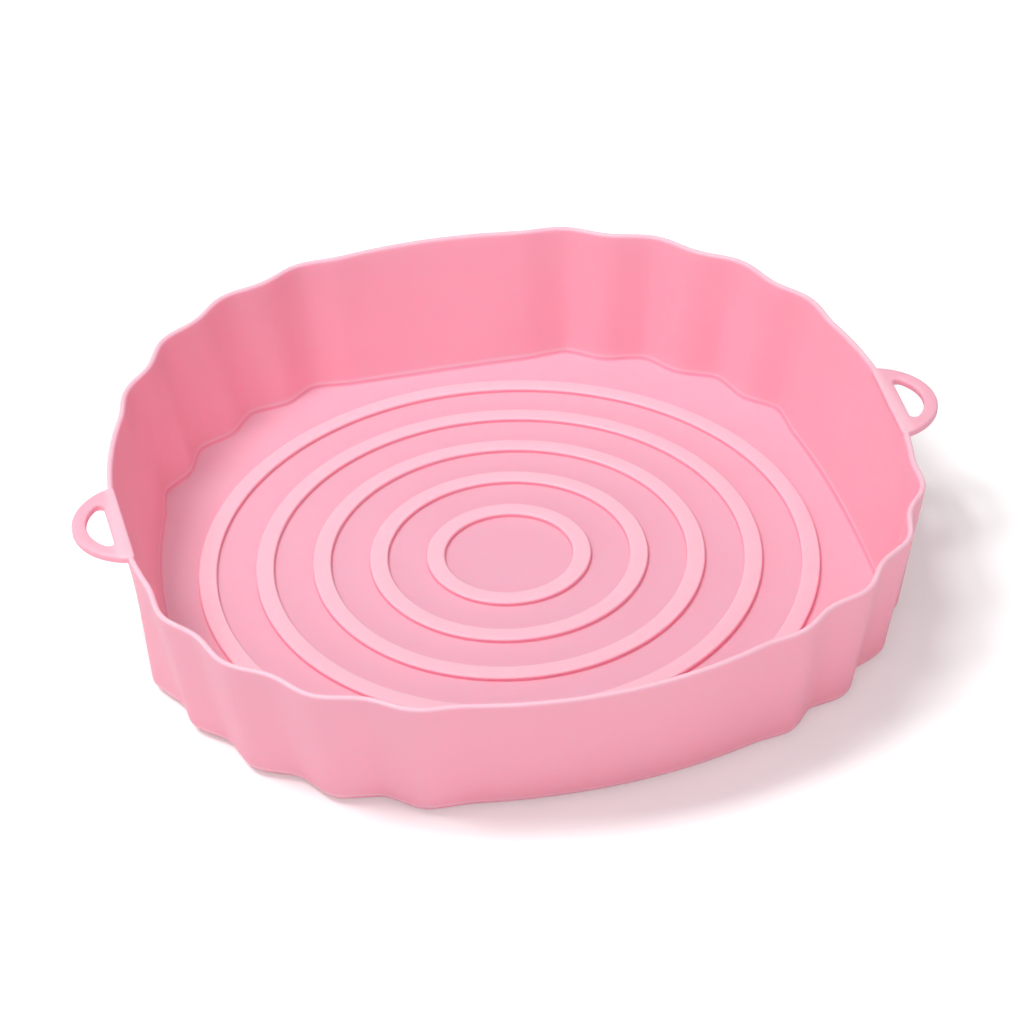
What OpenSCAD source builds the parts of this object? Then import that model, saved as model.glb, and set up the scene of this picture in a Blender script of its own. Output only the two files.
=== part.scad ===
// Silicone liner for the basket of an air fryer: one moulded tray with a ridged floor,
// fluted corners and a flat loop handle on each of two opposite walls.
// The origin is the middle of the underside, +X runs through the handles, +Z is up.

/* [Tray] */
// Height of the rim above the underside
height = 39; // [30:0.5:60]
// Thickness of the wall
wall = 1.5; // [1.2:0.1:2]
// Thickness of the floor
floor_t = 1.5; // [1.2:0.1:2.5]
// Rounding of the outer edge around the underside
outer_fillet = 3.5; // [2:0.25:5]
// Rounding of the inner corner between floor and wall
inner_fillet = 0.8; // [0.5:0.1:3]

/* [Outline at the rim] */
// Reach of the right wall from the middle of the liner, at the middle of the wall
rim_wall_right = 102.5; // [95:0.1:107]
// The same for the back wall
rim_wall_back = 103.7; // [95:0.1:107]
// The same for the left wall
rim_wall_left = 101.5; // [95:0.1:107]
// The same for the front wall
rim_wall_front = 104.4; // [95:0.1:107]
// Reach of the right back corner, at the middle of its ridges
rim_reach_right_back = 108.6; // [104:0.1:113]
// The same for the left back corner
rim_reach_left_back = 107.7; // [104:0.1:113]
// The same for the left front corner
rim_reach_left_front = 109; // [104:0.1:113]
// The same for the right front corner
rim_reach_right_front = 108.9; // [104:0.1:113]
// How much less the end ridges of a corner reach than its middle
rim_shoulder = 1.8; // [0:0.1:3]
// How much further the right back corner reaches at its plain wall than at its middle
rim_lean_right_back = 0.7; // [-1.5:0.1:1.5]
// The same for the left back corner
rim_lean_left_back = 1.3; // [-1.5:0.1:1.5]
// The same for the left front corner
rim_lean_left_front = 0.2; // [-1.5:0.1:1.5]
// The same for the right front corner
rim_lean_right_front = -0.4; // [-1.5:0.1:1.5]
// How far an end ridge stands proud of the wall beside it
rim_end_ridge = 2; // [0:0.1:3]
// Direction of the right back corner, in degrees from the handle axis
rim_turn_right_back = 46.1; // [42:0.1:52]
// The same for the left back corner
rim_turn_left_back = 48.8; // [42:0.1:52]
// The same for the left front corner
rim_turn_left_front = 46.6; // [42:0.1:52]
// The same for the right front corner
rim_turn_right_front = 43.9; // [42:0.1:52]
// Angle from flute to flute in the right back corner
rim_angle_right_back = 14.7; // [10:0.1:15]
// The same for the left back corner
rim_angle_left_back = 13.8; // [10:0.1:15]
// The same for the left front corner
rim_angle_left_front = 13; // [10:0.1:15]
// The same for the right front corner
rim_angle_right_front = 12; // [10:0.1:15]
// Depth of a flute
rim_flute_depth = 2.3; // [0.5:0.1:4]
// Sharpness of ridges and flutes, from 0.1 for an even wave to 0.98 for a zigzag
rim_crease = 0.3; // [0.1:0.02:0.98]

/* [Outline at the base] */
// Reach of the right wall from the middle of the liner, at the middle of the wall
base_wall_right = 92.1; // [88:0.1:98]
// The same for the back wall
base_wall_back = 91.8; // [88:0.1:98]
// The same for the left wall
base_wall_left = 92.2; // [88:0.1:98]
// The same for the front wall
base_wall_front = 94.4; // [88:0.1:98]
// Reach of the right back corner, at the middle of its ridges
base_reach_right_back = 101.9; // [98:0.1:107]
// The same for the left back corner
base_reach_left_back = 102.1; // [98:0.1:107]
// The same for the left front corner
base_reach_left_front = 102.3; // [98:0.1:107]
// The same for the right front corner
base_reach_right_front = 102.9; // [98:0.1:107]
// How much less the end ridges of a corner reach than its middle
base_shoulder = 1.6; // [0:0.1:3]
// How much further the right back corner reaches at its plain wall than at its middle
base_lean_right_back = -0.7; // [-1.5:0.1:1.5]
// The same for the left back corner
base_lean_left_back = -0.1; // [-1.5:0.1:1.5]
// The same for the left front corner
base_lean_left_front = -1; // [-1.5:0.1:1.5]
// The same for the right front corner
base_lean_right_front = -1.2; // [-1.5:0.1:1.5]
// How far an end ridge stands proud of the wall beside it
base_end_ridge = 1.6; // [0:0.1:3]
// Direction of the right back corner, in degrees from the handle axis
base_turn_right_back = 47.3; // [42:0.1:52]
// The same for the left back corner
base_turn_left_back = 50.1; // [42:0.1:52]
// The same for the left front corner
base_turn_left_front = 46.5; // [42:0.1:52]
// The same for the right front corner
base_turn_right_front = 43.5; // [42:0.1:52]
// Angle from flute to flute in the right back corner
base_angle_right_back = 13.5; // [10:0.1:15]
// The same for the left back corner
base_angle_left_back = 12.3; // [10:0.1:15]
// The same for the left front corner
base_angle_left_front = 12.8; // [10:0.1:15]
// The same for the right front corner
base_angle_right_front = 10.9; // [10:0.1:15]
// Depth of a flute
base_flute_depth = 3.4; // [0.5:0.1:4]
// Sharpness of ridges and flutes, from 0.1 for an even wave to 0.98 for a zigzag
base_crease = 0.92; // [0.1:0.02:0.98]

/* [Flutes and fold] */
// Number of flutes in each corner, pressed in between ridges
flutes = 3; // [1:1:4]
// How far the fold in the left wall stands out at the base, beside the handle's front end
fold_reach = 6.6; // [0:0.1:8]
// Direction of the fold, in degrees towards the front from the handle axis
fold_turn = 16; // [12:0.5:18]
// Angle over which the fold runs out on either side
fold_spread = 9; // [8:0.5:12]

/* [Floor rings] */
// Number of raised rings
ring_count = 5; // [1:1:5]
// Radius of the first ring, at the middle of its width
ring_first = 19.3; // [10:0.1:20]
// Distance from ring to ring
ring_pitch = 15; // [10:0.5:16]
// Width of a ring at the floor
ring_w = 4.8; // [3:0.1:6]
// Height of a ring above the floor
ring_h = 1.3; // [0.8:0.1:2.5]
// Rounding of a ring's upper edges
ring_edge = 0.6; // [0.2:0.1:0.8]

/* [Handles] */
// Width of a handle where it leaves the wall
handle_root = 29.5; // [24:0.5:40]
// How far a handle reaches out from the wall
handle_reach = 10.4; // [9:0.1:14]
// Width of the band around the hole
handle_band = 3.6; // [3:0.1:4.5]
// Thickness of a handle
handle_t = 2.2; // [1.6:0.1:3.5]
// Gap between the wall and the hole
handle_gap = 1.2; // [0.5:0.1:2]
// How far a handle's pad stands proud of the inside of the wall
pad_proud = 1.1; // [0.3:0.1:1.5]
// How far the top of a handle stands above the rim
handle_lift = 0.2; // [0.1:0.1:1]
// Rounding of the corners of a handle's hole
hole_corner = 1.3; // [0.8:0.1:2]
// Distance of the handles from the middle of their walls, towards the front
handle_offset = 9.5; // [0:0.5:20]

/* [Hidden] */
// Steps around the wall, along a fillet and along the rounded rim
around = 288;
fillet_steps = 4;
rim_steps = 6;
// Angle over which the turns between walls and ridges are eased
ease_angle = 0.9;
// Steps along the arcs of a handle and of a ring's edge
arc_steps = 24;
edge_steps = 5;
// How deep a ring's foot is rooted in the floor
ring_root = floor_t / 2;
// Rounding of a handle pad's own corners
pad_corner = 1;

// One flute as a rise from 0 on a ridge to 1 in the middle of the flute.
function flute_wave(turn, crease) = 0.5 + asin(crease * cos(360 * turn)) / asin(crease) / 2;

// Angle brought into one full turn.
function whole_turn(a) = (a + 360) % 360;

// Angle from the handle axis, folded into the first quarter of the plan.
function folded(a) = abs((whole_turn(a) + 90) % 180 - 90);

// Reach of the outline along a wall, growing from its middle to its end ridge.
function wall_reach(from_middle, half_angle, middle, end) =
    middle + (end - middle) * pow(from_middle / half_angle, 2);

// Reach of one level's outline in direction a, made of walls, ridges and flutes. A level is
// - its shoulder, end ridge, flute depth and crease,
// - the reach of the right, back, left and front wall,
// - direction, flute angle, reach and lean of each corner, from the right back one round.
function level_reach(a, level) =
    let (
        shape = level[0],
        walls = level[1],
        quarter = floor(whole_turn(a) / 90),
        corner = level[2][quarter],
        handle_wall = walls[quarter % 3 == 0 ? 0 : 2],
        plain_wall = walls[quarter < 2 ? 1 : 3],
        span = flutes * corner[1] / 2,
        off = folded(a) - corner[0],
        near = max(-1, min(1, off / span)),
        ridges = corner[2] - shape[0] * pow(near, 2) + corner[3] * near,
        wave = flute_wave(off / corner[1] + (flutes - 1) / 2, shape[3]),
        past = abs(off) > span,
        faded = abs(off) > span + corner[1] / 2 ? 1 : wave,
        along = off < 0
            ? wall_reach(folded(a), corner[0] - span, handle_wall, ridges - shape[1])
            : wall_reach(90 - folded(a), 90 - corner[0] - span, plain_wall, ridges - shape[1])
    )
    past ? along + shape[1] * (1 - faded) : ridges - shape[2] * wave;

rim = [
    [rim_shoulder, rim_end_ridge, rim_flute_depth, rim_crease],
    [rim_wall_right, rim_wall_back, rim_wall_left, rim_wall_front],
    [
        [rim_turn_right_back, rim_angle_right_back, rim_reach_right_back, rim_lean_right_back],
        [rim_turn_left_back, rim_angle_left_back, rim_reach_left_back, rim_lean_left_back],
        [rim_turn_left_front, rim_angle_left_front, rim_reach_left_front, rim_lean_left_front],
        [rim_turn_right_front, rim_angle_right_front, rim_reach_right_front, rim_lean_right_front]
    ]
];
base = [
    [base_shoulder, base_end_ridge, base_flute_depth, base_crease],
    [base_wall_right, base_wall_back, base_wall_left, base_wall_front],
    [
        [base_turn_right_back, base_angle_right_back, base_reach_right_back, base_lean_right_back],
        [base_turn_left_back, base_angle_left_back, base_reach_left_back, base_lean_left_back],
        [base_turn_left_front, base_angle_left_front, base_reach_left_front, base_lean_left_front],
        [base_turn_right_front, base_angle_right_front, base_reach_right_front, base_lean_right_front]
    ]
];

// Reach of a level with its sharp turns eased.
function eased_reach(a, level) =
    (level_reach(a - ease_angle, level) + 2 * level_reach(a, level)
        + level_reach(a + ease_angle, level)) / 4;

// How far the fold in the left wall stands out at the base in direction a.
function fold_rise(a) =
    let (away = min(1, abs(whole_turn(a) - 180 - fold_turn) / fold_spread))
    fold_reach * (1 - flute_wave(0.5 + away / 2, base_crease));

// The wall is ruled: each point moves in a straight line from the base to the rim.
function reach(a, z) =
    let (up = z / height)
    (1 - up) * (eased_reach(a, base) + fold_rise(a)) + up * eased_reach(a, rim);

function outline_point(a, z) = reach(a, z) * [cos(a), sin(a)];

// Level direction in which the outer face of the wall looks.
function outward(a, z) =
    let (
        step = 0.2,
        along = outline_point(a + step, z) - outline_point(a - step, z)
    )
    [along[1], -along[0]] / norm(along);

// A point of the shell: skin is its depth into the wall, inset runs on towards the middle.
function shell_point(a, skin, inset, z) =
    let (flat = outline_point(a, z) - skin * outward(a, z) - inset * [cos(a), sin(a)])
    [flat[0], flat[1], z];

// Section of the shell from the underside, over the rim, to the floor: [skin, inset, z].
section = [
    for (i = [0 : fillet_steps])
        let (t = 90 * i / fillet_steps)
        [0, outer_fillet * (1 - sin(t)), outer_fillet * (1 - cos(t))],
    for (i = [0 : rim_steps])
        let (t = 180 * i / rim_steps)
        [wall / 2 * (1 - cos(t)), 0, height - wall / 2 * (1 - sin(t))],
    for (i = [0 : fillet_steps])
        let (t = 90 * i / fillet_steps)
        [wall, inner_fillet * (1 - cos(t)), floor_t + inner_fillet * (1 - sin(t))]
];

// Tray without rings and handles, lofted through the section all the way round.
module tray_shell() {
    rows = len(section);
    points = [
        for (s = section)
            for (j = [0 : around - 1])
                shell_point(360 * j / around, s[0], s[1], s[2]),
        [0, 0, 0],
        [0, 0, floor_t]
    ];
    last = (rows - 1) * around;
    under_middle = rows * around;
    floor_middle = under_middle + 1;
    faces = [
        for (i = [0 : rows - 2])
            for (j = [0 : around - 1])
                let (
                    k = (j + 1) % around,
                    a = i * around + j,
                    b = i * around + k
                )
                each [[a, a + around, b], [b, a + around, b + around]],
        for (j = [0 : around - 1])
            let (k = (j + 1) % around)
            each [[j, k, under_middle], [last + k, last + j, floor_middle]]
    ];
    polyhedron(points, faces);
}

// One raised ring: a band with rounded upper edges, rooted in the floor.
module floor_ring(middle) {
    edge = [
        for (i = [0 : edge_steps])
            let (t = 90 * i / edge_steps)
            [ring_w / 2 - ring_edge * (1 - cos(t)), ring_h - ring_edge * (1 - sin(t))]
    ];
    outline = [
        [ring_w / 2, -ring_root],
        for (p = edge) p,
        for (i = [edge_steps : -1 : 0]) [-edge[i][0], edge[i][1]],
        [-ring_w / 2, -ring_root]
    ];
    translate([0, 0, floor_t])
        rotate_extrude($fn = 180)
            translate([middle, 0])
                polygon(outline);
}

// Segment of a circle around the origin, cut at x = chord, with its two corners rounded.
function segment_outline(radius, chord, corner) =
    let (
        corner_y = sqrt(pow(radius - corner, 2) - pow(chord + corner, 2)),
        turn = atan2(corner_y, chord + corner),
        centre = [chord + corner, corner_y],
        upper = [
            for (i = [0 : arc_steps])
                radius * [cos(turn * i / arc_steps), sin(turn * i / arc_steps)],
            for (i = [1 : edge_steps])
                let (t = turn + (180 - turn) * i / edge_steps)
                centre + corner * [cos(t), sin(t)]
        ]
    )
    concat(upper, [for (i = [len(upper) - 1 : -1 : 1]) [upper[i][0], -upper[i][1]]]);

// Flat loop handle on the wall in direction a: a disc segment whose straight side is its pad.
module handle(a) {
    radius = (pow(handle_root / 2, 2) + pow(handle_reach, 2)) / (2 * handle_reach);
    wall_x = radius - handle_reach;
    at = outline_point(a, height);
    facing = outward(a, height);
    translate([at[0], at[1], height + handle_lift - handle_t])
        rotate([0, 0, atan2(facing[1], facing[0])])
            translate([-wall_x, 0, 0])
                linear_extrude(handle_t)
                    difference() {
                        polygon(segment_outline(radius, wall_x - wall - pad_proud, pad_corner));
                        polygon(segment_outline(radius - handle_band, wall_x + handle_gap, hole_corner));
                    }
}

module liner() {
    color("lightpink")
    union() {
        tray_shell();
        for (i = [0 : ring_count - 1])
            floor_ring(ring_first + i * ring_pitch);
        handle(-asin(handle_offset / rim_wall_right));
        handle(180 + asin(handle_offset / rim_wall_left));
    }
}

liner();
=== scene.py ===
import math

import bmesh
import bpy
from mathutils import Matrix, Quaternion, Vector


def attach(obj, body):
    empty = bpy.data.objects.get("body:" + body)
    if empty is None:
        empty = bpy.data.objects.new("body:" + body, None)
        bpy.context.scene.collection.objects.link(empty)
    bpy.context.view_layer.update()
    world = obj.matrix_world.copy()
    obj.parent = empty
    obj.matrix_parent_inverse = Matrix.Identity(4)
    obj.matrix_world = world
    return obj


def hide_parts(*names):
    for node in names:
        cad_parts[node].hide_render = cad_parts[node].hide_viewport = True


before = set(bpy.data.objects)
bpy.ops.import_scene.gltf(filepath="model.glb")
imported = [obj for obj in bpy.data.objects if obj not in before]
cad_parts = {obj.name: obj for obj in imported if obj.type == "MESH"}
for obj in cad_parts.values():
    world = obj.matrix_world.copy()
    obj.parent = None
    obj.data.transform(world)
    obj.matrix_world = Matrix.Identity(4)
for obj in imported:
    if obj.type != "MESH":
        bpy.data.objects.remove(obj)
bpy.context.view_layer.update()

# Camera: the photograph looks down into the tray from the front, a little to the left, through
# a long lens, with the picture tilted by about two degrees. Its values were fitted to the
# five floor rings.
lens_mm = 95.06
sensor_mm = 36
near_clip = 0.05
camera_distance = 0.7272
camera_azimuth = -101.8
camera_elevation = 36.476
camera_roll = -2.142
looks_at = Vector((0.00477, 0.01687, 0.0028))

azimuth = math.radians(camera_azimuth)
elevation = math.radians(camera_elevation)
towards_camera = Vector((
    math.cos(elevation) * math.cos(azimuth),
    math.cos(elevation) * math.sin(azimuth),
    math.sin(elevation),
))
camera_data = bpy.data.cameras.new("photo_camera")
camera_data.lens = lens_mm
camera_data.sensor_width = sensor_mm
camera_data.clip_start = near_clip
camera = bpy.data.objects.new("photo_camera", camera_data)
bpy.context.scene.collection.objects.link(camera)
level_view = (-towards_camera).to_track_quat("-Z", "Y")
camera.rotation_mode = "QUATERNION"
camera.rotation_quaternion = level_view @ Quaternion((0, 0, 1), math.radians(camera_roll))
camera.location = looks_at + camera_distance * towards_camera
bpy.context.scene.camera = camera

# Studio: a plain sheet of pale paper in a pale room. A soft key lamp hangs high on the left,
# another nearly overhead, and two wide weak lamps fill in from the front and from the right.
scene = bpy.context.scene
scene.view_settings.view_transform = "Standard"

white = (1, 1, 1, 1)
room_colour = (1.0, 0.99, 0.985, 1)
room_strength = 0.28
seen_strength = 1.0
paper_reach = 3.0
paper_colour = (0.9, 0.9, 0.9, 1)
paper_roughness = 0.9
paper_gloss = 0.1
near_glow = 0.2
far_glow = 1.0
glow_starts = 0.3
glow_ends = 0.8

world = bpy.data.worlds.new("pale_room")
world.use_nodes = True
scene.world = world
world_nodes = world.node_tree.nodes
join_world = world.node_tree.links.new
room = world_nodes["Background"]
room.inputs["Color"].default_value = room_colour
room.inputs["Strength"].default_value = room_strength
backdrop = world_nodes.new("ShaderNodeBackground")
backdrop.inputs["Color"].default_value = white
backdrop.inputs["Strength"].default_value = seen_strength
room_or_backdrop = world_nodes.new("ShaderNodeMixShader")
seen_in_world = world_nodes.new("ShaderNodeLightPath").outputs["Is Camera Ray"]
join_world(seen_in_world, room_or_backdrop.inputs["Fac"])
join_world(room.outputs["Background"], room_or_backdrop.inputs[1])
join_world(backdrop.outputs["Background"], room_or_backdrop.inputs[2])
join_world(room_or_backdrop.outputs["Shader"], world_nodes["World Output"].inputs["Surface"])

floor_mesh = bpy.data.meshes.new("studio_floor")
floor_corners = [(-1, -1), (1, -1), (1, 1), (-1, 1)]
floor_mesh.from_pydata(
    [(x * paper_reach, y * paper_reach, 0) for x, y in floor_corners], [], [(0, 1, 2, 3)]
)
floor = bpy.data.objects.new("studio_floor", floor_mesh)
scene.collection.objects.link(floor)
floor_paper = bpy.data.materials.new("floor_paper")
floor_paper.use_nodes = True
paper_nodes = floor_paper.node_tree.nodes
join_paper = floor_paper.node_tree.links.new
paper = paper_nodes["Principled BSDF"]
paper.inputs["Base Color"].default_value = paper_colour
paper.inputs["Roughness"].default_value = paper_roughness
paper.inputs["Specular IOR Level"].default_value = paper_gloss
# Near the liner the paper glows only a little, so that its shadow stays. Further out it goes
# over into the white background.
from_liner = paper_nodes.new("ShaderNodeVectorMath")
from_liner.operation = "LENGTH"
join_paper(paper_nodes.new("ShaderNodeTexCoord").outputs["Object"], from_liner.inputs[0])
outwards = paper_nodes.new("ShaderNodeMapRange")
outwards.inputs["From Min"].default_value = glow_starts
outwards.inputs["From Max"].default_value = glow_ends
outwards.inputs["To Min"].default_value = near_glow
outwards.inputs["To Max"].default_value = far_glow
join_paper(from_liner.outputs["Value"], outwards.inputs["Value"])
glow_amount = paper_nodes.new("ShaderNodeMath")
glow_amount.operation = "MULTIPLY"
seen_on_paper = paper_nodes.new("ShaderNodeLightPath").outputs["Is Camera Ray"]
join_paper(seen_on_paper, glow_amount.inputs[0])
join_paper(outwards.outputs["Result"], glow_amount.inputs[1])
glow = paper_nodes.new("ShaderNodeEmission")
glow.inputs["Color"].default_value = white
join_paper(glow_amount.outputs[0], glow.inputs["Strength"])
glowing_paper = paper_nodes.new("ShaderNodeAddShader")
join_paper(paper.outputs["BSDF"], glowing_paper.inputs[0])
join_paper(glow.outputs["Emission"], glowing_paper.inputs[1])
join_paper(glowing_paper.outputs["Shader"], paper_nodes["Material Output"].inputs["Surface"])
floor_mesh.materials.append(floor_paper)


def soft_lamp(name, place, width, depth, watts):
    """Rectangular lamp at place, turned towards the liner's middle."""
    lamp = bpy.data.lights.new(name, "AREA")
    lamp.shape = "RECTANGLE"
    lamp.size = width
    lamp.size_y = depth
    lamp.energy = watts
    holder = bpy.data.objects.new(name, lamp)
    holder.location = place
    holder.rotation_mode = "QUATERNION"
    holder.rotation_quaternion = (-Vector(place)).to_track_quat("-Z", "Y")
    scene.collection.objects.link(holder)
    return holder


soft_lamp("key_lamp", (-0.53, 0.03, 1.0), 0.32, 0.32, 6.9)
soft_lamp("top_lamp", (-0.2, 0.06, 1.17), 0.3, 0.3, 3.9)
soft_lamp("side_fill", (0.95, -0.75, 0.6), 1.0, 0.8, 1.5)
# The front lamp only fills in: the satin walls don't mirror it.
front_fill = soft_lamp("front_fill", (-0.25, -1.12, 0.66), 1.6, 0.8, 4.9)
front_fill.visible_glossy = False

# Liner: one shallow tray for an air fryer's basket, with five raised rings on its floor and a
# loop handle on each of two walls. It is moulded in one piece from pink silicone: the wall
# widens to the rim, flutes are pressed into its corners, and the handles are cast on.
mm = 0.001
# Walls and corners reach out from the middle. A wall bows out from there to the end ridges of
# its two corners. Turns, spreads and flute angles are in degrees, and a crease goes from an
# even wave at 0 to a zigzag at 1.
SIDES = ("Right", "Back", "Left", "Front")
CORNERS = ("Right Back", "Left Back", "Left Front", "Right Front")
tray = {
    "Height": 39 * mm,
    "Rim Shoulder": 1.8 * mm,
    "Rim End Ridge": 2 * mm,
    "Rim Flute Depth": 2.3 * mm,
    "Rim Crease": 0.3,
    "Foot Shoulder": 1.6 * mm,
    "Foot End Ridge": 1.6 * mm,
    "Foot Flute Depth": 3.4 * mm,
    "Foot Crease": 0.92,
    "Fold Reach": 6.6 * mm,
    "Fold Turn": 16.0,
    "Fold Spread": 9.0,
}
by_side = {
    "Rim Wall": (102.5 * mm, 103.7 * mm, 101.5 * mm, 104.4 * mm),
    "Foot Wall": (92.1 * mm, 91.8 * mm, 92.2 * mm, 94.4 * mm),
}
by_corner = {
    "Rim Turn": (46.1, 48.8, 46.6, 43.9),
    "Rim Flute Angle": (14.7, 13.8, 13, 12),
    "Rim Reach": (108.6 * mm, 107.7 * mm, 109 * mm, 108.9 * mm),
    "Rim Lean": (0.7 * mm, 1.3 * mm, 0.2 * mm, -0.4 * mm),
    "Foot Turn": (47.3, 50.1, 46.5, 43.5),
    "Foot Flute Angle": (13.5, 12.3, 12.8, 10.9),
    "Foot Reach": (101.9 * mm, 102.1 * mm, 102.3 * mm, 102.9 * mm),
    "Foot Lean": (-0.7 * mm, -0.1 * mm, -1 * mm, -1.2 * mm),
}
for places, sizes in ((SIDES, by_side), (CORNERS, by_corner)):
    for size_name, amounts in sizes.items():
        for place_name, amount in zip(places, amounts):
            tray[size_name + " " + place_name] = amount
columns = 504
wall = 1.5 * mm
floor_thickness = 1.5 * mm
outer_fillet = 3.5 * mm
inner_fillet = 0.8 * mm
fillet_steps = 8
rim_steps = 12
wall_rows = 9
underside_rows = (0, 12 * mm, 40 * mm, 70 * mm, 84 * mm)
middle_rows = (10 * mm, 4 * mm, 0)
first_ring = 19.3 * mm
ring_pitch = 15 * mm
ring_count = 5
ring_width = 4.8 * mm
ring_height = 1.3 * mm
ring_edge = 0.55 * mm
ring_foot = 0.3 * mm
ring_edge_steps = 6
ring_foot_steps = 3

# The section line of the tray's skin, from the middle of the underside over the rim to the
# middle of the floor. A line point is (inset or radius, depth under the skin, height), and
# on the rounds it is a radius.
section = []


def wall_point(inset, skin, height):
    section.append(((inset, skin, height), 0.0))


def round_point(radius, height):
    section.append(((radius, 0.0, height), 1.0))


def quarter(steps):
    return [math.radians(90 * i / steps) for i in range(steps + 1)]


for radius in underside_rows:
    round_point(radius, 0)
for t in quarter(fillet_steps):
    wall_point(outer_fillet * (1 - math.sin(t)), 0, outer_fillet * (1 - math.cos(t)))
wall_top = tray["Height"] - wall / 2
for i in range(1, wall_rows):
    wall_point(0, 0, outer_fillet + (wall_top - outer_fillet) * i / wall_rows)
for i in range(rim_steps + 1):
    t = math.radians(180 * i / rim_steps)
    wall_point(0, wall / 2 * (1 - math.cos(t)), wall_top + wall / 2 * math.sin(t))
inner_foot = floor_thickness + inner_fillet
for i in range(1, wall_rows):
    wall_point(0, wall, wall_top + (inner_foot - wall_top) * i / wall_rows)
for t in quarter(fillet_steps):
    wall_point(inner_fillet * (1 - math.cos(t)), wall, inner_foot - inner_fillet * math.sin(t))


def ring_points(middle):
    """Outline of one raised ring, from its outer foot over its top to its inner foot."""
    top = floor_thickness + ring_height
    half_width = ring_width / 2
    outer = [
        (middle + half_width + ring_foot * (1 - math.sin(t)),
         floor_thickness + ring_foot * (1 - math.cos(t)))
        for t in quarter(ring_foot_steps)
    ]
    outer += [
        (middle + half_width - ring_edge * (1 - math.cos(t)), top - ring_edge * (1 - math.sin(t)))
        for t in quarter(ring_edge_steps)
    ]
    inner = [(2 * middle - radius, height) for radius, height in reversed(outer)]
    return outer + inner


last_ring = first_ring + ring_pitch * (ring_count - 1)
round_point(last_ring + ring_pitch / 4, floor_thickness)
for k in reversed(range(ring_count)):
    for radius, height in ring_points(first_ring + k * ring_pitch):
        round_point(radius, height)
for radius in middle_rows:
    round_point(radius, floor_thickness)

section_mesh = bpy.data.meshes.new("liner")
section_steps = [(i, i + 1) for i in range(len(section) - 1)]
section_mesh.from_pydata([point for point, _ in section], section_steps, [])
rounds = section_mesh.attributes.new("round", "FLOAT", "POINT")
rounds.data.foreach_set("value", [on_round for _, on_round in section])
liner = bpy.data.objects.new("liner_skin", section_mesh)
scene.collection.objects.link(liner)


def arithmetic(group):
    """Function that adds one Math node to a group; its inputs are numbers or sockets."""

    def calculate(operation, *inputs):
        node = group.nodes.new("ShaderNodeMath")
        node.operation = operation
        for socket, given in zip(node.inputs, inputs):
            if isinstance(given, bpy.types.NodeSocket):
                group.links.new(given, socket)
            else:
                socket.default_value = given
        return node.outputs[0]

    return calculate


def node_group(name, inputs, outputs):
    """Empty node group with float inputs and outputs, and its two end nodes."""
    group = bpy.data.node_groups.new(name, "GeometryNodeTree")
    for title in inputs:
        group.interface.new_socket(title, in_out="INPUT", socket_type="NodeSocketFloat")
    for title in outputs:
        group.interface.new_socket(title, in_out="OUTPUT", socket_type="NodeSocketFloat")
    inner_inputs = group.nodes.new("NodeGroupInput").outputs
    return group, inner_inputs, group.nodes.new("NodeGroupOutput").inputs


# How far the outline of one level reaches in a direction, in degrees from the handle axis.
LEVEL = ("Shoulder", "End Ridge", "Flute Depth", "Crease")
WALLS = ("Handle Wall", "Plain Wall")
CORNER = ("Turn", "Flute Angle", "Reach", "Lean")
level_group, level_in, level_out = node_group(
    "level_reach", ("Direction",) + LEVEL + WALLS + CORNER, ("Reach",)
)
level = arithmetic(level_group)


def flute_wave(calculate, flutes_away, crease):
    """0 on a ridge, 1 in the middle of a flute: crease sharpens both, up to a zigzag."""
    cosine = calculate("COSINE", calculate("MULTIPLY", flutes_away, 2 * math.pi))
    bent = calculate("ARCSINE", calculate("MULTIPLY", cosine, crease))
    full = calculate("MULTIPLY", calculate("ARCSINE", crease), 2)
    return calculate("ADD", calculate("DIVIDE", bent, full), 0.5)


def between(calculate, share, none, whole):
    """The value at none where share is 0, at whole where it is 1."""
    return calculate("MULTIPLY_ADD", calculate("SUBTRACT", whole, none), share, none)


wrapped = level("WRAP", level("ADD", level_in["Direction"], 90), 180, 0)
folded = level("ABSOLUTE", level("SUBTRACT", wrapped, 90))
span = level("MULTIPLY", level_in["Flute Angle"], 1.5)
off = level("SUBTRACT", folded, level_in["Turn"])
distance = level("ABSOLUTE", off)
near = level("MAXIMUM", level("MINIMUM", level("DIVIDE", off, span), 1), -1)
shoulder = level("MULTIPLY", level_in["Shoulder"], level("MULTIPLY", near, near))
lean = level("MULTIPLY", level_in["Lean"], near)
ridges = level("ADD", level("SUBTRACT", level_in["Reach"], shoulder), lean)
wave = flute_wave(level, level("DIVIDE", off, level_in["Flute Angle"]), level_in["Crease"])
run_out = level("MULTIPLY_ADD", level_in["Flute Angle"], 0.5, span)
faded = level("MAXIMUM", level("GREATER_THAN", distance, run_out), wave)
wall_end = level("SUBTRACT", ridges, level_in["End Ridge"])


def along_wall(from_middle, half_angle, middle):
    """Reach of a wall, growing from its middle to its end ridge."""
    part = level("DIVIDE", from_middle, half_angle)
    return between(level, level("MULTIPLY", part, part), middle, wall_end)


handle_wall = along_wall(
    folded, level("SUBTRACT", level_in["Turn"], span), level_in["Handle Wall"]
)
plain_wall = along_wall(
    level("SUBTRACT", 90, folded),
    level("SUBTRACT", level("SUBTRACT", 90, level_in["Turn"]), span),
    level_in["Plain Wall"],
)
end_ridge = level("MULTIPLY", level_in["End Ridge"], level("SUBTRACT", 1, faded))
beside = level("LESS_THAN", off, 0)
walls = level("ADD", between(level, beside, plain_wall, handle_wall), end_ridge)
fluted = level("SUBTRACT", ridges, level("MULTIPLY", level_in["Flute Depth"], wave))
past = level("GREATER_THAN", distance, span)
level_group.links.new(between(level, past, fluted, walls), level_out["Reach"])

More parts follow.
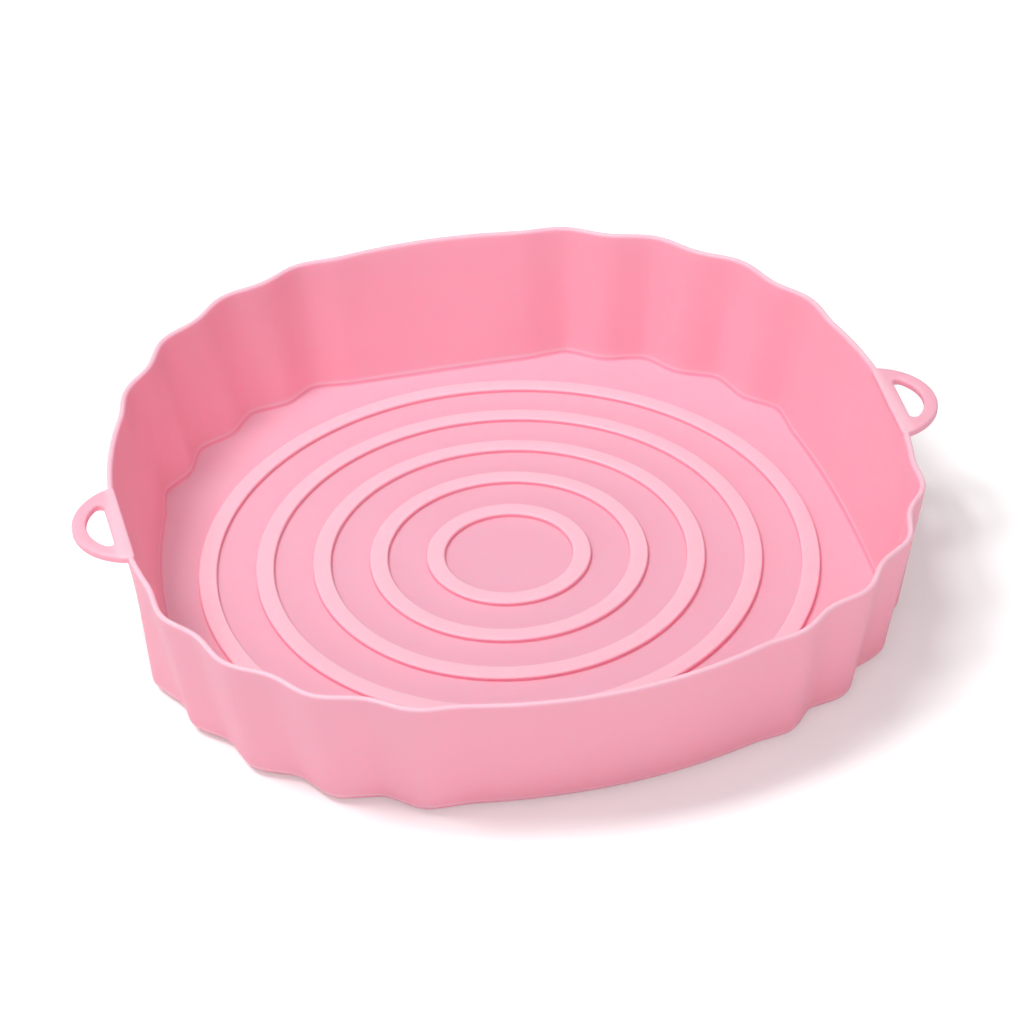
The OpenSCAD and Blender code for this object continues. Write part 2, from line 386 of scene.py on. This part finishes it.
# Reach at a height: the wall is ruled from the foot to the rim, and the sharp turns
# between walls and ridges are eased over about a degree.
ease_angle = 0.9
skin_group, skin_in, skin_out = node_group(
    "skin_reach", ("Turn", "Up") + tuple(name for name in tray if name != "Height"), ("Reach",)
)
skin_sum = arithmetic(skin_group)
around = skin_sum("WRAP", skin_in["Turn"], 360, 0)
wall_of_quarter = {
    "Handle Wall": ("Wall Right", "Wall Left", "Wall Left", "Wall Right"),
    "Plain Wall": ("Wall Back", "Wall Back", "Wall Front", "Wall Front"),
}


def level_at(angle, which):
    """Reach of the rim or the foot in a direction, with the sizes of that quarter."""
    node = skin_group.nodes.new("GeometryNodeGroup")
    node.node_tree = level_group
    skin_group.links.new(angle, node.inputs["Direction"])
    for name in LEVEL:
        skin_group.links.new(skin_in[which + " " + name], node.inputs[name])
    quarter_number = skin_sum("FLOOR", skin_sum("DIVIDE", skin_sum("WRAP", angle, 360, 0), 90))
    for name in WALLS + CORNER:
        choices = wall_of_quarter.get(name, [name + " " + place_name for place_name in CORNERS])
        pick = skin_group.nodes.new("GeometryNodeIndexSwitch")
        pick.data_type = "FLOAT"
        while len(pick.index_switch_items) < len(choices):
            pick.index_switch_items.new()
        skin_group.links.new(quarter_number, pick.inputs["Index"])
        for socket, choice in zip(list(pick.inputs)[1:], choices):
            skin_group.links.new(skin_in[which + " " + choice], socket)
        skin_group.links.new(pick.outputs[0], node.inputs[name])
    return node.outputs["Reach"]


def eased(which):
    """Reach of the rim or the foot in the present direction, with its turns eased."""
    before = level_at(skin_sum("SUBTRACT", around, ease_angle), which)
    after = level_at(skin_sum("ADD", around, ease_angle), which)
    sides = skin_sum("MULTIPLY", skin_sum("ADD", before, after), 0.25)
    return skin_sum("MULTIPLY_ADD", level_at(around, which), 0.5, sides)


past_fold = skin_sum("SUBTRACT", skin_sum("SUBTRACT", around, 180), skin_in["Fold Turn"])
fold_way = skin_sum("DIVIDE", skin_sum("ABSOLUTE", past_fold), skin_in["Fold Spread"])
fold_turns = skin_sum("MULTIPLY_ADD", skin_sum("MINIMUM", fold_way, 1), 0.5, 0.5)
fold_wave = flute_wave(skin_sum, fold_turns, skin_in["Foot Crease"])
fold = skin_sum("MULTIPLY", skin_in["Fold Reach"], skin_sum("SUBTRACT", 1, fold_wave))
foot_reach = skin_sum("ADD", eased("Foot"), fold)
skin_group.links.new(between(skin_sum, skin_in["Up"], foot_reach, eased("Rim")), skin_out["Reach"])

# The tray: a sheet of section points by columns, each put on the outline of its height.
tray_tree = bpy.data.node_groups.new("liner_tray", "GeometryNodeTree")


def tray_input(name, kind):
    return tray_tree.interface.new_socket(name, in_out="INPUT", socket_type="NodeSocket" + kind)


tray_input("Section", "Geometry")
columns_socket = tray_input("Columns", "Int")
material_socket = tray_input("Silicone", "Material")
handles_socket = tray_input("Handles", "Object")
size_sockets = {name: tray_input(name, "Float") for name in tray}
tray_tree.interface.new_socket("Tray", in_out="OUTPUT", socket_type="NodeSocketGeometry")
tray_in = tray_tree.nodes.new("NodeGroupInput").outputs
tray_out = tray_tree.nodes.new("NodeGroupOutput").inputs
tray_sum = arithmetic(tray_tree)
join = tray_tree.links.new


def add(kind, **settings):
    node = tray_tree.nodes.new(kind)
    for name, setting in settings.items():
        setattr(node, name, setting)
    return node


line_size = add("GeometryNodeAttributeDomainSize", component="MESH")
join(tray_in["Section"], line_size.inputs["Geometry"])
sheet = add("GeometryNodeMeshGrid")
sheet.inputs["Size X"].default_value = 1
sheet.inputs["Size Y"].default_value = 1
join(line_size.outputs["Point Count"], sheet.inputs["Vertices X"])
join(tray_sum("ADD", tray_in["Columns"], 1), sheet.inputs["Vertices Y"])
sheet_place = add("ShaderNodeSeparateXYZ")
join(add("GeometryNodeInputPosition").outputs[0], sheet_place.inputs[0])
last_row = tray_sum("SUBTRACT", line_size.outputs["Point Count"], 1)
along_line = tray_sum("ADD", sheet_place.outputs["X"], 0.5)
row = tray_sum("ROUND", tray_sum("MULTIPLY", along_line, last_row))
turn = tray_sum("MULTIPLY", tray_sum("ADD", sheet_place.outputs["Y"], 0.5), 360)


def from_section(data_type, source):
    """What the section line holds at this row."""
    node = add("GeometryNodeSampleIndex", data_type=data_type, domain="POINT")
    join(tray_in["Section"], node.inputs["Geometry"])
    join(source, node.inputs["Value"])
    join(row, node.inputs["Index"])
    return node.outputs["Value"]


section_place = add("ShaderNodeSeparateXYZ")
line_point = from_section("FLOAT_VECTOR", add("GeometryNodeInputPosition").outputs[0])
join(line_point, section_place.inputs[0])
inset, skin, height = section_place.outputs
round_name = add("GeometryNodeInputNamedAttribute", data_type="FLOAT")
round_name.inputs["Name"].default_value = "round"
is_round = from_section("FLOAT", round_name.outputs["Attribute"])
up = tray_sum("DIVIDE", height, tray_in["Height"])


def point_at(angle):
    """Reach and direction of a point of the skin at this height."""
    node = add("GeometryNodeGroup", node_tree=skin_group)
    join(angle, node.inputs["Turn"])
    join(up, node.inputs["Up"])
    for name in tray:
        if name != "Height":
            join(tray_in[name], node.inputs[name])
    radians = tray_sum("RADIANS", angle)
    return node.outputs["Reach"], tray_sum("COSINE", radians), tray_sum("SINE", radians)


def vector(x, y, z=0.0):
    node = add("ShaderNodeCombineXYZ")
    for socket, part in zip(node.inputs, (x, y, z)):
        if isinstance(part, bpy.types.NodeSocket):
            join(part, socket)
        else:
            socket.default_value = part
    return node.outputs[0]


def vector_sum(operation, first, second):
    node = add("ShaderNodeVectorMath", operation=operation)
    join(first, node.inputs[0])
    join(second, node.inputs[1])
    return node.outputs["Vector"]


def scaled(direction, amount):
    node = add("ShaderNodeVectorMath", operation="SCALE")
    join(direction, node.inputs[0])
    join(amount, node.inputs["Scale"])
    return node.outputs["Vector"]


reach, cosine, sine = point_at(turn)
radial = vector(cosine, sine)
skin_step = 0.2
seam_gap = 4e-6
beside_points = []
for step in (skin_step, -skin_step):
    side_reach, side_cosine, side_sine = point_at(tray_sum("ADD", turn, step))
    beside_points.append(scaled(vector(side_cosine, side_sine), side_reach))
run = add("ShaderNodeSeparateXYZ")
join(vector_sum("SUBTRACT", beside_points[0], beside_points[1]), run.inputs[0])
outward = add("ShaderNodeVectorMath", operation="NORMALIZE")
join(vector(run.outputs["Y"], tray_sum("MULTIPLY", run.outputs["X"], -1)), outward.inputs[0])
on_radius = scaled(radial, tray_sum("SUBTRACT", reach, inset))
on_skin = vector_sum("SUBTRACT", on_radius, scaled(outward.outputs["Vector"], skin))
from_skin = scaled(on_skin, tray_sum("SUBTRACT", 1, is_round))
from_round = scaled(scaled(radial, inset), is_round)
flat = vector_sum("ADD", from_skin, from_round)
put = add("GeometryNodeSetPosition")
join(sheet.outputs["Mesh"], put.inputs["Geometry"])
join(vector_sum("ADD", flat, vector(0.0, 0.0, height)), put.inputs["Position"])
outside = add("GeometryNodeFlipFaces")
close = add("GeometryNodeMergeByDistance")
close.inputs["Distance"].default_value = seam_gap
join(put.outputs["Geometry"], outside.inputs["Mesh"])
join(outside.outputs["Mesh"], close.inputs["Geometry"])
# The handles are cast on: their solids become one with the tray.
handles_in = add("GeometryNodeObjectInfo", transform_space="RELATIVE")
join(tray_in["Handles"], handles_in.inputs["Object"])
cast = add("GeometryNodeMeshBoolean", operation="UNION", solver="EXACT")
join(close.outputs["Geometry"], cast.inputs["Mesh 2"])
join(handles_in.outputs["Geometry"], cast.inputs["Mesh 2"])
real = add("GeometryNodeRealizeInstances")
join(cast.outputs["Mesh"], real.inputs["Geometry"])
finish = add("GeometryNodeSetMaterial")
join(real.outputs["Geometry"], finish.inputs["Geometry"])
join(tray_in["Silicone"], finish.inputs["Material"])
join(finish.outputs["Geometry"], tray_out["Tray"])

# The handles are flat D-shaped loops with softly rounded edges, flush with the rim. The
# straight side is a pad that stands a little proud inside the wall.
handle_root = 29.5 * mm
handle_reach = 10.4 * mm
handle_band = 3.6 * mm
handle_thickness = 2.2 * mm
handle_gap = 1.2 * mm
handle_lift = 0.2 * mm
handle_edge = 0.7 * mm
pad_proud = 1.1 * mm
handle_edge_steps = 4
pad_corner = 1 * mm
hole_corner = 1.3 * mm
arc_steps = 32
corner_steps = 8
loop_radius = ((handle_root / 2) ** 2 + handle_reach ** 2) / (2 * handle_reach)
wall_line = loop_radius - handle_reach


def loop_outline(radius, chord, corner):
    """Segment of a disc, cut straight at x = chord, with its two corners rounded."""
    corner_y = math.sqrt((radius - corner) ** 2 - (chord + corner) ** 2)
    opens = math.atan2(corner_y, chord + corner)
    upper = []
    for i in range(arc_steps + 1):
        t = opens * i / arc_steps
        upper.append((radius * math.cos(t), radius * math.sin(t)))
    for i in range(1, corner_steps + 1):
        t = opens + (math.pi - opens) * i / corner_steps
        upper.append((chord + corner + corner * math.cos(t), corner_y + corner * math.sin(t)))
    return upper + [(x, -y) for x, y in reversed(upper[1:])]


loop = bpy.data.curves.new("handle_loop", "CURVE")
loop.dimensions = "2D"
loop.fill_mode = "BOTH"
loop.extrude = handle_thickness / 2 - handle_edge
loop.bevel_depth = handle_edge
loop.offset = -handle_edge
loop.bevel_resolution = handle_edge_steps
for outline in (
    loop_outline(loop_radius, wall_line - wall - pad_proud, pad_corner),
    loop_outline(loop_radius - handle_band, wall_line + handle_gap, hole_corner),
):
    spline = loop.splines.new("POLY")
    spline.points.add(len(outline) - 1)
    for point, (x, y) in zip(spline.points, outline):
        point.co = (x - wall_line, y, 0, 1)
    spline.use_cyclic_u = True
loop_object = bpy.data.objects.new("handle_loop", loop)
scene.collection.objects.link(loop_object)
bpy.context.view_layer.update()
evaluated = bpy.context.evaluated_depsgraph_get()
loop_mesh = bpy.data.meshes.new_from_object(loop_object.evaluated_get(evaluated))
bpy.data.objects.remove(loop_object)

# Each handle stands square to its wall, towards the front of the wall's middle: its place on
# the wall and the direction it faces, in degrees.
handle_places = (
    (102.187 * mm, -9.512 * mm, -3.797),
    (-101.193 * mm, -9.513 * mm, -176.282),
)
double_gap = 1e-6
handle_middle = tray["Height"] + handle_lift - handle_thickness / 2
pair = bmesh.new()
for handle_x, handle_y, facing in handle_places:
    placed = loop_mesh.copy()
    placed.transform(
        Matrix.Translation((handle_x, handle_y, handle_middle))
        @ Matrix.Rotation(math.radians(facing), 4, "Z")
    )
    pair.from_mesh(placed)
bmesh.ops.remove_doubles(pair, verts=pair.verts, dist=double_gap)
pair_mesh = bpy.data.meshes.new("handles")
pair.to_mesh(pair_mesh)
pair.free()
handles = bpy.data.objects.new("handles", pair_mesh)
scene.collection.objects.link(handles)

# Silicone: tinted through and satin, faintly uneven in tint, with the fine grain of a blasted
# mould and very slight swells. Light goes a little way into it.
tint_low = (0.932, 0.393, 0.497, 1)
tint_high = (0.942, 0.41, 0.515, 1)
# Painted highlight: this paler tint lightens the ring tops and the rim where light catches them.
highlight_tint = (0.95, 0.51, 0.6, 1)
# Painted shade: this deeper tint darkens the steps beside the rings and the turn from floor to
# wall.
shade_tint = (0.93, 0.31, 0.425, 1)
satin_low = (0.5, 0.5, 0.5, 1)
satin_high = (0.57, 0.57, 0.57, 1)
silicone_ior = 1.42
light_in_share = 0.4
light_in_reach = (9 * mm, 2 * mm, 2.6 * mm)
tint_scale = 14
tint_detail = 3
satin_scale = 60
satin_detail = 4
noise_middle = (0.3, 0.7)
grain_scale = 2200
grain_strength = 0.12
grain_height = 0.1 * mm
swell_scale = 45
swell_strength = 0.15
swell_height = 0.6 * mm
bump_detail = 2
ring_tops_from = (2.3 * mm, 2.75 * mm)
ring_tops_to = (2.9 * mm, 3.6 * mm)
rim_from = (37.6 * mm, 38.9 * mm)
handles_to = (103 * mm, 101 * mm)
handle_highlight_share = 0.25
steps_from = (1.55 * mm, 1.7 * mm)
steps_to = (2.1 * mm, 2.4 * mm)
silicone = bpy.data.materials.new("pink_silicone")
silicone.use_nodes = True
silicone_nodes = silicone.node_tree.nodes
join_silicone = silicone.node_tree.links.new
skin_shader = silicone_nodes["Principled BSDF"]
coordinates = silicone_nodes.new("ShaderNodeTexCoord")


def noise(scale, detail):
    node = silicone_nodes.new("ShaderNodeTexNoise")
    node.inputs["Scale"].default_value = scale
    node.inputs["Detail"].default_value = detail
    join_silicone(coordinates.outputs["Object"], node.inputs["Vector"])
    return node.outputs["Fac"]


def ramp(source, low, high):
    """Colour that goes from low to high over the middle part of a noise."""
    node = silicone_nodes.new("ShaderNodeValToRGB")
    for element, place, colour in zip(node.color_ramp.elements, noise_middle, (low, high)):
        element.position = place
        element.color = colour
    join_silicone(source, node.inputs["Fac"])
    return node.outputs["Color"]


def rises(source, low, high):
    """0 below low, 1 above high, smooth between."""
    node = silicone_nodes.new("ShaderNodeMapRange")
    node.interpolation_type = "SMOOTHSTEP"
    node.inputs["From Min"].default_value = low
    node.inputs["From Max"].default_value = high
    join_silicone(source, node.inputs["Value"])
    return node.outputs["Result"]


def tinted(share, below, colour):
    """The colour below, with a share of another colour over it."""
    node = silicone_nodes.new("ShaderNodeMix")
    node.data_type = "RGBA"
    factor, first_colour, second_colour = node.inputs["Factor"], node.inputs[6], node.inputs[7]
    second_colour.default_value = colour
    join_silicone(share, factor)
    join_silicone(below, first_colour)
    return node.outputs[2]


def bump(scale, strength, height):
    node = silicone_nodes.new("ShaderNodeBump")
    node.inputs["Strength"].default_value = strength
    node.inputs["Distance"].default_value = height
    join_silicone(noise(scale, bump_detail), node.inputs["Height"])
    return node


# Painted highlight: the ring tops and the rim are painted a shade paler for the light they catch,
# the handles hardly so.
# Painted shade: the steps beside the rings and the turn from floor to wall are painted a shade
# deeper for the shade that falls there.
tint = ramp(noise(tint_scale, tint_detail), tint_low, tint_high)
place_here = silicone_nodes.new("ShaderNodeSeparateXYZ")
join_silicone(coordinates.outputs["Object"], place_here.inputs[0])
height_here = place_here.outputs["Z"]
shade_sum = arithmetic(silicone.node_tree)
sideways = shade_sum("ABSOLUTE", place_here.outputs["X"])
# Painted highlight mask: the ring tops, and the rim top with only a small share on the handles.
ring_top_highlight = shade_sum(
    "SUBTRACT", rises(height_here, *ring_tops_from), rises(height_here, *ring_tops_to)
)
not_handle = rises(sideways, *handles_to)
rim_highlight_share = shade_sum("MULTIPLY_ADD", not_handle, 1 - handle_highlight_share, handle_highlight_share)
rim_highlight = shade_sum("MULTIPLY", rises(height_here, *rim_from), rim_highlight_share)
# Painted shade mask: the heights of the steps beside the rings and of the fillet between floor and
# wall.
steps = shade_sum("SUBTRACT", rises(height_here, *steps_from), rises(height_here, *steps_to))
highlighted = tinted(shade_sum("MAXIMUM", ring_top_highlight, rim_highlight), tint, highlight_tint)
join_silicone(tinted(steps, highlighted, shade_tint), skin_shader.inputs["Base Color"])
satin = ramp(noise(satin_scale, satin_detail), satin_low, satin_high)
join_silicone(satin, skin_shader.inputs["Roughness"])
grain = bump(grain_scale, grain_strength, grain_height)
swell = bump(swell_scale, swell_strength, swell_height)
join_silicone(swell.outputs["Normal"], grain.inputs["Normal"])
join_silicone(grain.outputs["Normal"], skin_shader.inputs["Normal"])
skin_shader.inputs["IOR"].default_value = silicone_ior
skin_shader.inputs["Subsurface Weight"].default_value = light_in_share
skin_shader.inputs["Subsurface Radius"].default_value = light_in_reach
skin_shader.inputs["Subsurface Scale"].default_value = 1.0

# The tray is made with its handles, and its mesh takes the section line's place.
sharp_angle = 38
mould = liner.modifiers.new("tray", "NODES")
mould.node_group = tray_tree
mould[columns_socket.identifier] = columns
mould[material_socket.identifier] = silicone
mould[handles_socket.identifier] = handles
for name, socket in size_sockets.items():
    mould[socket.identifier] = float(tray[name])
bpy.context.view_layer.update()
evaluated = bpy.context.evaluated_depsgraph_get()
moulded = bpy.data.meshes.new_from_object(liner.evaluated_get(evaluated))
moulded.name = "liner_skin"
liner.modifiers.remove(mould)
liner.data = moulded
bpy.data.objects.remove(handles)
moulded.shade_smooth()
moulded.set_sharp_from_angle(angle=math.radians(sharp_angle))
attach(liner, "root")
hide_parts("liner")
